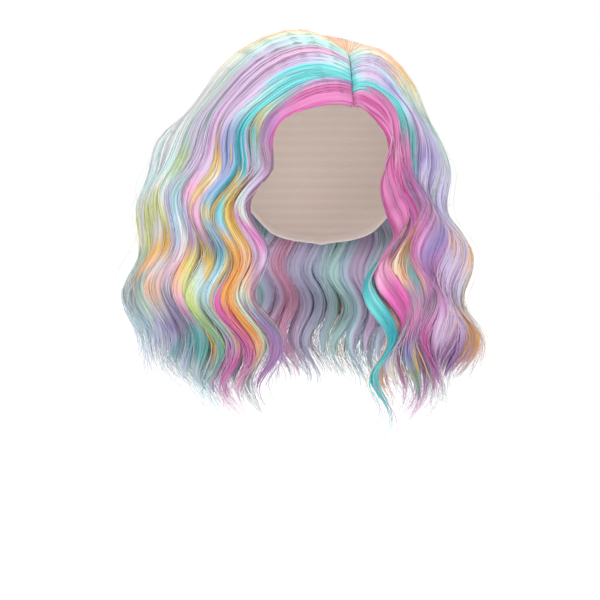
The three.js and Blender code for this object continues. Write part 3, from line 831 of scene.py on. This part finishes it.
def lockPoints(lock, place, face, station, crest=0.0, last=None):
    # A point of a lock: place is -1 to 1 across it, face 1 outside and -1 inside. Its depth is the lock's middle
    # less face · thickness / 2 · sqrt(1 - |place|^power), and the wave moves it in or out and aside
    style = lockStyle
    full = fullness(station, lock["first"], lock["last"] if last is None else last)
    hanging, share = hangingShare(station), lengthShare(station)
    width = 1 + knotCurve(lock["widths"], share) * style["widthStray"] * hanging
    width = width * mix(style["domeOverlap"], lock["overlap"], hanging)
    reach = place * lock["half"] * full * width
    nearRoot = 1 - smoothstep(station, *style["hairlineFade"])
    reach = reach + np.maximum(place, 0) * lock["hairline"][1] * nearRoot
    reach = reach + np.minimum(place, 0) * lock["hairline"][0] * nearRoot
    azimuth = lock["middle"] + reach
    drop = waveDrop(azimuth, station)
    size = smoothstep(drop, waves["start"], waves["full"])
    crestDrop = (readEdges(azimuth, "crest") + lock["crest"] + crest) * hair["drop"]
    phase = 2 * math.pi * (drop - crestDrop) / waves["length"]
    perDegree = surfaceFrame(azimuth, station)[3]
    aside = waves["sway"] * lock["sway"] * size * np.cos(phase)
    aside = aside + knotCurve(lock["drifts"], share) * style["drift"] * hanging
    moved = shifted(azimuth - aside / perDegree, leans, azimuth, drop)
    here, normal, side, _ = surfaceFrame(moved, station)
    outer, inner = lock["depths"](moved, station)
    thick = (inner - outer) * full ** style["tipThinning"]
    profile = np.sqrt(np.maximum(1 - np.abs(place) ** mix(*style["roundPowers"], hanging), 0))
    atRoot = (1 - smoothstep(station, -1, style["rootEnd"])) * (lock["first"] < 0)
    depth = (outer + inner) / 2 - face * thick / 2 * profile + style["rootDip"] * atRoot * (face > 0)
    out = waves["bulge"] * size * np.sin(phase)
    out = out + knotCurve(lock["rises"], share) * style["rise"] * (style["domeRise"] + hanging)
    out = shifted(out, swells, azimuth, drop)
    points = here + normal * (out - depth)[..., None]
    if lock["first"] < 0:
        gap = mix(*style["capGaps"], smoothstep(station, -1, style["capGapEnd"]))
        points = clearOfCap(points, parting["seatGap"] + gap * (1 + style["capGapSpread"] * face))
        x, y = partingPlan(np.clip(1.5 - np.abs(readEdges(moved, "root") - 1.5), 0, 1))
        toLine = np.stack([x - points[..., 0], y - points[..., 1], 0 * x], -1)
        points = points + toLine * (style["rootLean"] * atRoot)[..., None]
    return points, normal, side, perDegree * lock["half"] * 2 * full * width, hanging


def bandFaces(ids):
    # Quads between neighbouring closed rings of points
    low, high = ids[:-1], ids[1:]
    return np.stack([low, np.roll(low, -1, 1), np.roll(high, -1, 1), high], -1).reshape(-1, 4)


def tubes(paths, normals, halfWidths, heights):
    # Closed three-sided tubes along many paths at once. A ring is path ± side · halfWidth, a little under the
    # path, and a ridge at path + normal · height
    count, steps = paths.shape[:2]
    along = unit(np.gradient(paths, axis=1))
    side = unit(np.cross(along, normals))
    up = np.cross(side, along)
    w, h = halfWidths[..., None], heights[..., None]
    under = up * h * strandStyle["sink"]
    rings = np.stack([paths + side * w - under, paths - side * w - under, paths + up * h], 2)
    ids = np.arange(count * steps * 3).reshape(count, steps, 3)
    low, high = ids[:, :-1], ids[:, 1:]
    quads = np.stack([low, np.roll(low, -1, 2), np.roll(high, -1, 2), high], -1).reshape(-1, 4)
    ends = np.concatenate([ids[:, 0, ::-1], ids[:, -1]]).reshape(-1, 3)
    return rings.reshape(-1, 3), [quads, ends]


def alongLock(lock, place, face, station, crest, aside, out, halfWidth, shade, last=None):
    # Tubes down a lock's face, moved aside and out in metres, with the colours of the place they follow
    rng, style = lock["rng"], strandStyle
    count, steps = station.shape
    points, normal, side, _, hanging = lockPoints(lock, place, face, station, crest, last)
    points = points + normal * (face * out)[..., None] + side * aside[..., None]
    tilt = knotCurve(rng.uniform(-1, 1, (count, 9)), lengthShare(station)) * style["tilt"]
    normals = normal * (face * np.cos(tilt))[..., None] + side * np.sin(tilt)[..., None]
    verts, faces = tubes(points, normals, halfWidth, halfWidth * style["ridge"] + style["leastRidge"])
    mingled = lock["middle"] + place * lock["half"]
    mingled = mingled + rng.normal(0, 1, (count, 1)) * colourStyle["strandMingle"] * lock["mingling"]
    stray = rng.normal(0, 1, (count, 1)) * mix(*style["colourStray"], hanging)
    colour = hairColour(lock, mingled, wayOf(station) + place * lock["slant"] + stray)
    colour = colour * (1 + shade)[..., None]
    length = np.cumsum(np.linalg.norm(np.diff(points, axis=1, prepend=points[:, :1]), axis=-1), 1)
    u = rng.uniform(0, 1, (count, 1, 1)) + np.array([1, -1, 0]) * halfWidth[..., None]
    v = np.broadcast_to((length + rng.uniform(0, 1, (count, 1)))[..., None], (count, steps, 3))
    return verts, faces, np.stack([u, v], -1).reshape(-1, 2), np.repeat(colour.reshape(-1, 3), 3, 0)


def stationRows(first, end, domeRows, hangRows):
    # Places over the dome, closer near the parting, if the strand starts there, and down to each strand's end
    down = np.linspace(0, 1, hangRows)[None]
    if first >= 0:
        return first + down * (end - first)
    dome = np.interp(np.linspace(0, 1, domeRows, endpoint=False), *lockStyle["domePlaces"])[None]
    return np.concatenate([np.repeat(dome, len(end), 0), down * end], 1)


def lockWidth(lock):
    # Metres across a lock near its start below the hanging level
    at = np.full((1, 1), max(0.06, lock["first"] + 0.05))
    return float(lockPoints(lock, np.zeros((1, 1)), 1, at)[3][0, 0])


def strandPart(lock, innerShare):
    # Strands from root to tip: each keeps its place across the lock or crosses to another, and wanders a little
    rng, style = lock["rng"], strandStyle
    first, last = lock["first"], lock["last"]
    count = max(style["fewest"], int(lockWidth(lock) / style["spacing"] * (1 + innerShare)))
    face = np.where(rng.random(count) < innerShare / (1 + innerShare), -1, 1)[:, None]
    end = last - rng.random((count, 1)) ** 1.5 * style["endStray"]
    station = stationRows(first, end, style["domeSteps"], style["hangSteps"])
    share, hanging = lengthShare(station), hangingShare(station)
    stray = (rng.random((count, 1)) < style["strays"]) * 1.0
    start = rng.uniform(*style["places"], (count, 1))
    crossing = rng.random((count, 1)) < style["cross"]
    crossing = crossing * rng.uniform(-style["crossReach"], style["crossReach"], (count, 1))
    turn = rng.uniform(*style["crossStart"], (count, 1))
    crossed = smoothstep(station, turn - style["crossRun"], turn + style["crossRun"])
    place = np.clip(start + crossing * crossed, -1, 1)
    aside = knotCurve(rng.uniform(-1, 1, (count, 12)), share) * style["wander"] * (0.5 + hanging)
    aside += knotCurve(rng.uniform(-1, 1, (count, 8)), share) * style["strayWander"] * stray * hanging
    out = style["clear"] + (0.5 + knotCurve(rng.uniform(-0.5, 0.5, (count, 12)), share)) * style["lift"]
    out = out + stray * style["strayLift"] * hanging * knotCurve(rng.uniform(0, 1, (count, 7)), share)
    half = style["width"] / 2 * rng.uniform(*style["widths"], (count, 1)) * (1 - 0.5 * stray)
    half = half * np.clip((end - station) / style["endFade"], 0.12, 1) ** 0.7
    if first >= 0:
        half = half * np.clip((station - first) / style["startFade"], 0.1, 1)
    shade = np.broadcast_to(rng.normal(0.02, colourStyle["shade"], (count, 1)), station.shape)
    crest = rng.uniform(-1, 1, (count, 1)) * style["crestStray"]
    return alongLock(lock, place, face, station, crest, aside, out, half, shade)


def wispPart(lock, count):
    # Short strands that leave the lock before its tip: they spread aside and out as s², and end in a point
    rng, style = lock["rng"], wispStyle
    last = lock["last"]
    begin = last - style["reach"] * rng.uniform(*style["reaches"], (count, 1))
    end = last - rng.random((count, 1)) * style["endStray"] + style["past"] * rng.random((count, 1)) ** 2
    s = np.linspace(0, 1, style["steps"])[None]
    station = begin + s * (end - begin)
    place = rng.uniform(-1, 1, (count, 1)) * (1 - 0.3 * s)
    curl = rng.normal(0, 0.6, (count, 1)) * style["curl"]
    aside = curl * s**2 + knotCurve(rng.uniform(-1, 1, (count, 6)), s) * style["wander"] * s
    face = np.where(rng.random((count, 1)) < style["inside"], -1, 1)
    out = style["clear"] + rng.normal(0.25, 0.5, (count, 1)) * style["lift"] * s**2
    half = style["halfWidth"] * rng.uniform(*style["widths"], (count, 1))
    half = half * np.clip(np.minimum(s / 0.15, (1 - s) / 0.6), 0.12, 1) ** 0.6
    shade = np.broadcast_to(rng.normal(0.03, colourStyle["shade"], (count, 1)), station.shape)
    return alongLock(lock, place, face, station, 0.0, aside, out, half, shade, last + 0.03)


def flyPart(lock, count):
    # Loose strands that stand off the lock by a slow swell, sin², and come back to it at the tip
    rng, style = lock["rng"], flyStyle
    first, last = lock["first"], lock["last"]
    end = last - rng.uniform(*style["ends"], (count, 1))
    station = stationRows(max(first, -0.9) if first < 0 else first, end, style["domeSteps"], style["steps"])
    share = lengthShare(station)
    swell = share * rng.uniform(*style["swells"], (count, 1)) - style["swellStart"]
    swell = np.sin(math.pi * np.clip(swell, 0, 1))
    out = swell**2 * style["lift"] * rng.random((count, 1)) ** 1.4
    out = out * smoothstep(station, -0.25, 0.1) + style["clear"]
    aside = knotCurve(rng.uniform(-1, 1, (count, 5)), share) * style["wander"] * smoothstep(station, -0.5, 0.05)
    half = np.full(station.shape, style["halfWidth"]) * np.clip((end - station) / 0.04, 0.2, 1)
    place = rng.uniform(-1, 1, (count, 1)) * np.ones(station.shape)
    # Loose strands are painted a tenth lighter than their lock: a painted highlight
    shade = np.full(station.shape, 0.1)
    crest = rng.normal(0, style["crestStray"], (count, 1))
    return alongLock(lock, place, np.ones((count, 1)), station, crest, aside, out, half, shade)


def placesAcross(count):
    # Places from -1 towards 1, closer together near the edges
    even = np.linspace(-1, 1, count + 1)[:-1]
    return (even + np.sin(even * math.pi / 2)) / 2


def bodyPart(lock, outerRing, innerRing, domeRows, hangRows):
    # Smooth closed body: rings of points across the outer and the inner face, with relief like combed strands
    place = np.concatenate([-placesAcross(innerRing), placesAcross(outerRing)])[None]
    face = np.concatenate([-np.ones(innerRing), np.ones(outerRing)])[None]
    last = lock["last"] - lockStyle["bodyEnd"]
    station = stationRows(lock["first"], np.array([[last]]), domeRows, hangRows)[0][:, None]
    station = np.repeat(station, place.shape[1], 1)
    rows, ring = station.shape
    place, face = np.broadcast_to(place, station.shape), np.broadcast_to(face, station.shape)
    points, normal, _, wide, hanging = lockPoints(lock, place, face, station, 0.0, last)
    u, v = (place + 1) / 2, lengthShare(station)
    fade = lockStyle["bodyFade"]
    inside = np.sqrt(np.maximum(1 - place**6, 0)) * (1 - np.clip((station - last + fade) / fade, 0, 1))
    relief = patchNoise(lock["grooves"], u, v) * lockStyle["relief"] * (0.45 + hanging) * inside
    points = points + normal * (face * relief)[..., None]
    mingled = lock["middle"] + place * lock["half"]
    mingled = mingled + knotCurve(lock["mingles"], u) * colourStyle["mingle"] * lock["wholeHalf"]
    colour = hairColour(lock, mingled, wayOf(station) + place * lock["slant"])
    colour = colour * (0.97 + colourStyle["shade"] * 0.8 * patchNoise(lock["shades"], u, v))[..., None]
    ids = np.arange(rows * ring).reshape(rows, ring)
    length = np.cumsum(np.linalg.norm(np.diff(points[:, :1], axis=0, prepend=points[:1, :1]), axis=-1), 0)
    uv = np.stack([place * wide / 2 + 0.05 * (face + 1), np.repeat(length, ring, 1)], -1).reshape(-1, 2)
    return points.reshape(-1, 3), [bandFaces(ids), ids[:1, ::-1], ids[-1:]], uv, colour.reshape(-1, 3)


uvName = "strandMap"
counts = []


def makePiece(name, parts, material, node):
    # One object from several parts: points, blocks of faces with equally many corners, UVs and colours
    corners, sizes, offset = [], [], 0
    for points, blocks, uv, colour in parts:
        for block in blocks:
            corners.append((block + offset).ravel())
            sizes.append(np.full(len(block), block.shape[1]))
        offset += len(points)
    verts, uvs, colours = (np.concatenate([part[k] for part in parts]) for k in (0, 2, 3))
    corners, sizes = np.concatenate(corners), np.concatenate(sizes)
    mesh = bpy.data.meshes.new(name)
    mesh.vertices.add(len(verts))
    mesh.vertices.foreach_set("co", verts.astype(np.float32).ravel())
    mesh.loops.add(len(corners))
    mesh.loops.foreach_set("vertex_index", corners.astype(np.int32))
    mesh.polygons.add(len(sizes))
    mesh.polygons.foreach_set("loop_start", (np.cumsum(sizes) - sizes).astype(np.int32))
    mesh.polygons.foreach_set("use_smooth", np.ones(len(sizes), bool))
    mesh.update(calc_edges=True)
    uvLayer = mesh.uv_layers.new(name=uvName)
    uvLayer.data.foreach_set("uv", uvs[corners].astype(np.float32).ravel())
    tint = mesh.attributes.new("tint", "FLOAT_COLOR", "POINT")
    rgba = np.concatenate([np.clip(colours, 0, 1), np.ones((len(colours), 1))], 1)
    tint.data.foreach_set("color", rgba.astype(np.float32).ravel())
    mesh.materials.append(material)
    obj = bpy.data.objects.new(name, mesh)
    bpy.context.collection.objects.link(obj)
    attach(obj, "root")
    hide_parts(node)
    mesh.calc_loop_triangles()
    counts.append(len(mesh.loop_triangles))


# Each look names its texture and that node's inputs, the stretch of the piece's own map, the texture's output, the
# levels that the output is mapped to, whether the levels or the output make the relief, and the shader's inputs
fibreLook = {
    "texture": "Noise",
    "pattern": {"Scale": 1, "Detail": 4, "Roughness": 0.62},
    "stretch": (420, 6, 1),
    "output": "Fac",
    "levels": {"From Min": 0.3, "From Max": 0.7, "To Min": 0.8, "To Max": 1.14},
    "reliefFromLevels": False,
    "bump": 0.00028,
    "shader": {"Roughness": 0.42, "Specular IOR Level": 0.35, "Sheen Weight": 0.25, "Sheen Roughness": 0.4},
}


def nodeTree(name):
    # A new material with its nodes, links and shader
    material = bpy.data.materials.new(name)
    material.use_nodes = True
    nodes, links = material.node_tree.nodes, material.node_tree.links
    return material, nodes, links, nodes["Principled BSDF"]


def setInputs(node, values):
    # Constant values on the node's own sockets
    for key, value in values.items():
        node.inputs[key].default_value = value


def patternMaterial(name, look):
    # Base colour = the piece's own colour attribute · the pattern's level, with a bump from the pattern
    material, nodes, links, shader = nodeTree(name)
    place = nodes.new("ShaderNodeUVMap")
    place.uv_map = uvName
    stretch = nodes.new("ShaderNodeMapping")
    pattern = nodes.new("ShaderNodeTex" + look["texture"])
    level = nodes.new("ShaderNodeMapRange")
    tint = nodes.new("ShaderNodeAttribute")
    tint.attribute_name = "tint"
    product = nodes.new("ShaderNodeVectorMath")
    product.operation = "MULTIPLY"
    bump = nodes.new("ShaderNodeBump")
    if "feature" in look:
        pattern.feature = look["feature"]
    setInputs(stretch, {"Scale": look["stretch"]})
    setInputs(pattern, look["pattern"])
    setInputs(level, look["levels"])
    setInputs(bump, {"Distance": look["bump"]})
    setInputs(shader, look["shader"])
    output, result = pattern.outputs[look["output"]], level.outputs["Result"]
    links.new(place.outputs["UV"], stretch.inputs["Vector"])
    links.new(stretch.outputs["Vector"], pattern.inputs["Vector"])
    links.new(output, level.inputs["Value"])
    links.new(tint.outputs["Color"], product.inputs[0])
    links.new(result, product.inputs[1])
    links.new(product.outputs["Vector"], shader.inputs["Base Color"])
    links.new(result if look["reliefFromLevels"] else output, bump.inputs["Height"])
    links.new(bump.outputs["Normal"], shader.inputs["Normal"])
    return material


hairMaterials = {}
# Degrees that a front lock spreads on the dome, at its near and its far edge
hairlines = {"left_lock_01": (2.0, 0.0), "right_lock_01": (0.0, 6.5)}
# Drops of hidden starts, so that they stay behind the front locks
lateStarts = {"under_lock_10": 0.50, "under_lock_01": 0.40}
# How far a lock takes its neighbours' colours
ownColours = {"right_lock_01": (-0.7, 0.0), "right_lock_00": (0.0, 0.0)}
backFrom, backTo = 90, 310


def addLock(index, name, near, far, start, tip, under, slot, seed):
    # A wide lock is made as several narrower ones in one piece
    kind = lockKinds["under" if under else "back" if near >= backFrom and far <= backTo else "front"]
    if slot not in hairMaterials:
        hairMaterials[slot] = patternMaterial(slot, fibreLook)
    reach = ownColours.get(name, (-colourStyle["reach"], colourStyle["reach"]))
    whole = {
        "name": name,
        "wholeMiddle": (near + far) / 2,
        "wholeHalf": (far - near) / 2,
        "mingling": (far - near) * kind["mingling"],
        "colours": underColours if under else surfaceColours,
        "accents": entries(lockColours[name][1]),
        "colourReach": (index + reach[0], index + reach[1]),
        "hairline": (0.0, 0.0),
        "overlap": kind["overlap"],
    }
    depths = underDepths if under else surfaceDepths
    lock = makeLock(whole, near, far, start, tip, depths, seed)
    subs = max(1, round(lockWidth(lock) / kind["subWidth"]))
    bounds = np.linspace(near, far, subs + 1)
    spread = hairlines.get(name, (0.0, 0.0))
    parts = []
    for k in range(subs):
        whole["hairline"] = (spread[0] if k == 0 else 0.0, spread[1] if k == subs - 1 else 0.0)
        stray = lock["rng"].uniform(-1, 0.25) * lockStyle["tipStray"] * (subs > 1)
        sub = makeLock(whole, bounds[k], bounds[k + 1], start, tip + stray, depths, seed * 100 + k)
        parts += [bodyPart(sub, *kind["mesh"]), strandPart(sub, kind["inside"]), wispPart(sub, wispStyle["count"])]
        if not under:
            parts.append(flyPart(sub, int(flyStyle["count"] + sub["rng"].random())))
    makePiece(name + "_hair", parts, hairMaterials[slot], name)


near = firstEdge
for number, (name, edge, _, tip, _, colour, *start) in enumerate(surfaceLocks):
    addLock(number, name, near, edge, start[0] if start else None, tip, False, "hair_" + colour, number + 1)
    near = edge
print("surface locks made, triangles:", sum(counts))
near = underEdges[0]
for number, (name, edge, start, tip, colour) in enumerate(underLocks):
    start = lateStarts.get(name, start)
    addLock(number, name, near, edge, start, tip, True, "hair_" + colour, number + 101)
    near = edge
print("under locks made, triangles:", sum(counts))

net = {
    "colour": (0.82, 0.71, 0.64),
    "band": (0.85, 0.76, 0.70),
    "frontTrim": 0.007,
    "trimFade": (35, 72),
    "poleRow": 0.004,
    "weftSpacing": 0.0092,
    "weftHeight": 0.0004,
    "rimWidth": 0.007,
    "rimHeight": 0.0007,
    "columns": 160,
    "innerRows": 120,
    "outerRows": 36,
}
# Fine stretch net: darker cells between paler threads
netLook = {
    "texture": "Voronoi",
    "feature": "DISTANCE_TO_EDGE",
    "pattern": {"Scale": 1, "Randomness": 0.35},
    "stretch": (620, 620, 1),
    "output": "Distance",
    "levels": {"From Min": 0.03, "From Max": 0.3, "To Min": 1.03, "To Max": 0.86},
    "reliefFromLevels": True,
    "bump": 0.00015,
    "shader": {"Roughness": 0.85, "Sheen Weight": 0.2},
}


def capPoints(azimuth, row, grown):
    # A point of the cap: polar angle = row · the angle of the shaped edge, on the ellipsoid grown by a distance
    turn, radius = np.minimum(azimuth, 360 - azimuth), head["crownToWidest"]
    drop = napeDrop * readTable(capEdge, "azimuth", turn, "drop")
    drop = drop - net["frontTrim"] * (1 - smoothstep(turn, *net["trimFade"]))
    most = np.arccos((radius - drop) / radius)
    polar, angle = most * row, np.radians(azimuth)
    half = headHalves[:, None, None] + grown
    x = -half[0] * np.sin(polar) * np.sin(angle)
    y = -half[1] * np.sin(polar) * np.cos(angle)
    return np.stack([x, y, headMiddle[2] + half[2] * np.cos(polar)], -1), polar * radius, most * radius


def makeCap():
    # Closed shell: the outer face from crown to rim, then the inner face back up. Inside are a thicker band along
    # the rim and a low rounded band for each row of sewn hair, height · cos^0.6 of the length from the crown
    inside, outside = net["innerRows"], net["outerRows"]
    azimuth = np.repeat(np.linspace(0, 360, net["columns"], endpoint=False)[None], inside + outside, 0)
    row = np.concatenate([np.linspace(net["poleRow"], 1, outside), np.linspace(1, net["poleRow"], inside)])
    row = row[:, None] * np.ones(azimuth.shape)
    isInner = (np.arange(inside + outside) >= outside)[:, None] * np.ones(azimuth.shape)
    _, length, whole = capPoints(azimuth, row, np.zeros(azimuth.shape))
    rim = smoothstep(length, whole - net["rimWidth"] - 0.0008, whole - net["rimWidth"])
    weft = np.maximum(np.cos(2 * math.pi * length / net["weftSpacing"]), 0) ** 0.6
    weft = weft * (1 - rim) * smoothstep(length, 0.02, 0.03)
    rounded = np.sqrt(np.clip((whole - length) / 0.0012, 0.02, 1))
    relief = (weft * net["weftHeight"] + rim * net["rimHeight"] * rounded) * isInner
    grown = np.where(isInner > 0, -relief, head["capWall"] * mix(0.4, 1, rounded))
    points = capPoints(azimuth, row, grown)[0]
    rows, ring = azimuth.shape
    ids = np.arange(rows * ring).reshape(rows, ring)
    low, high = ids[:-1], ids[1:]
    quads = np.stack([low, high, np.roll(high, -1, 1), np.roll(low, -1, 1)], -1).reshape(-1, 4)
    colour = mix(np.array(net["colour"]), np.array(net["band"]), np.clip(weft + rim, 0, 1)[..., None])
    uv = np.stack([np.radians(azimuth) * 0.085, length], -1).reshape(-1, 2)
    part = points.reshape(-1, 3), [quads, ids[:1, :], ids[-1:, ::-1]], uv, colour.reshape(-1, 3)
    makePiece("cap_shell", [part], patternMaterial("cap_net", netLook), "foundation_cap")


skin = {
    "colour": (0.74, 0.56, 0.47),
    "thickness": 0.0005,
    "rows": 90,
    "across": 8,
}
# Matte skin tone with the small dark dots of the hair's roots
skinLook = {
    "texture": "Voronoi",
    "pattern": {"Scale": 1},
    "stretch": (900, 900, 1),
    "output": "Distance",
    "levels": {"From Min": 0.1, "From Max": 0.3, "To Min": 0.55, "To Max": 1.0},
    "reliefFromLevels": True,
    "bump": 0.0001,
    "shader": {"Roughness": 0.65},
}


def makeStrip():
    # A strip over the cap along the parting, its top crowned by thickness · sqrt(1 - place²), its underside level
    share = np.linspace(0, 1, skin["rows"])[:, None]
    across = np.linspace(-1, 1, skin["across"])
    place = np.concatenate([across, across[-2:0:-1]])[None]
    top = np.concatenate([np.ones(skin["across"]), np.zeros(skin["across"] - 2)])[None]
    x, y = partingPlan(share)
    x = x + place * (partingHalfWidth(share) - parting["seatGap"] / 2)
    crown = np.sqrt(np.maximum(1 - place**2, 0))
    rise = head["capWall"] + parting["seatGap"] + top * skin["thickness"] * crown
    points = np.stack([x, y + 0 * x, 0 * x], -1)
    half = headHalves + rise[..., None]
    points[..., 2] = headMiddle[2] + half[..., 2] * np.sqrt(1 - (x / half[..., 0]) ** 2 - (y / half[..., 1]) ** 2)
    rows, ring = x.shape
    ids = np.arange(rows * ring).reshape(rows, ring)
    colour = np.broadcast_to(np.array(skin["colour"]), points.shape)
    uv = np.stack([x, y + 0 * x], -1).reshape(-1, 2)
    part = points.reshape(-1, 3), [bandFaces(ids), ids[:1, ::-1], ids[-1:]], uv, colour.reshape(-1, 3)
    makePiece("parting_line", [part], patternMaterial("parting_skin", skinLook), "parting_strip")


makeCap()
makeStrip()
print("cap and parting made, triangles:", counts[-2:], "all:", sum(counts))

studio = {
    "floor": -0.7,
    "wide": 40.0,
    "floorGlow": 0.12,
    "lightsAim": (0, 0, -0.14),
    "aim": (-0.0185, 0.0, -0.2016),
    "distance": 1.9,
    "elevation": 4,
    "lens": 135.7,
}
# Name, place, size in metres and power in watts
lights = [
    ["key_light", (-0.6, -1.6, 1.1), 0.9, 16],
    ["fill_light", (1.5, -1.4, 0.3), 1.4, 5],
    ["top_light", (0.1, 0.4, 1.8), 1.2, 9],
    ["front_light", (0.3, -2.2, 0.1), 1.2, 8],
]


def makeFloor():
    # A level white floor that reaches beyond the view
    half, z = studio["wide"] / 2, studio["floor"]
    mesh = bpy.data.meshes.new("studio_floor")
    corners = [(-half, -half, z), (half, -half, z), (half, half, z), (-half, half, z)]
    mesh.from_pydata(corners, [], [(0, 1, 2, 3)])
    material, _, _, shader = nodeTree("studio_floor")
    setInputs(shader, {"Base Color": (0.95, 0.95, 0.95, 1), "Roughness": 0.9})
    setInputs(shader, {"Emission Color": (1, 1, 1, 1), "Emission Strength": studio["floorGlow"]})
    mesh.materials.append(material)
    obj = bpy.data.objects.new("studio_floor", mesh)
    bpy.context.collection.objects.link(obj)


makeFloor()


def addLight(name, place, size, power):
    # A round area light that faces the hair
    lamp = bpy.data.lights.new(name, "AREA")
    lamp.shape = "DISK"
    lamp.size = size
    lamp.energy = power
    obj = bpy.data.objects.new(name, lamp)
    obj.location = place
    obj.rotation_euler = (Vector(studio["lightsAim"]) - Vector(place)).to_track_quat("-Z", "Y").to_euler()
    bpy.context.collection.objects.link(obj)


for lamp in lights:
    addLight(*lamp)

world = bpy.data.worlds.new("studio")
world.use_nodes = True
setInputs(world.node_tree.nodes["Background"], {"Color": (1, 1, 1, 1), "Strength": 1.0})
bpy.context.scene.world = world
bpy.context.scene.view_settings.view_transform = "Standard"

elevation = math.radians(studio["elevation"])
cameraData = bpy.data.cameras.new("photo_camera")
cameraData.lens = studio["lens"]
cameraData.sensor_width = 36
cameraData.clip_end = 50
camera = bpy.data.objects.new("photo_camera", cameraData)
aim = Vector(studio["aim"])
camera.location = aim + Vector((0, -math.cos(elevation), math.sin(elevation))) * studio["distance"]
camera.rotation_euler = (aim - camera.location).to_track_quat("-Z", "Y").to_euler()
bpy.context.collection.objects.link(camera)
bpy.context.scene.camera = camera
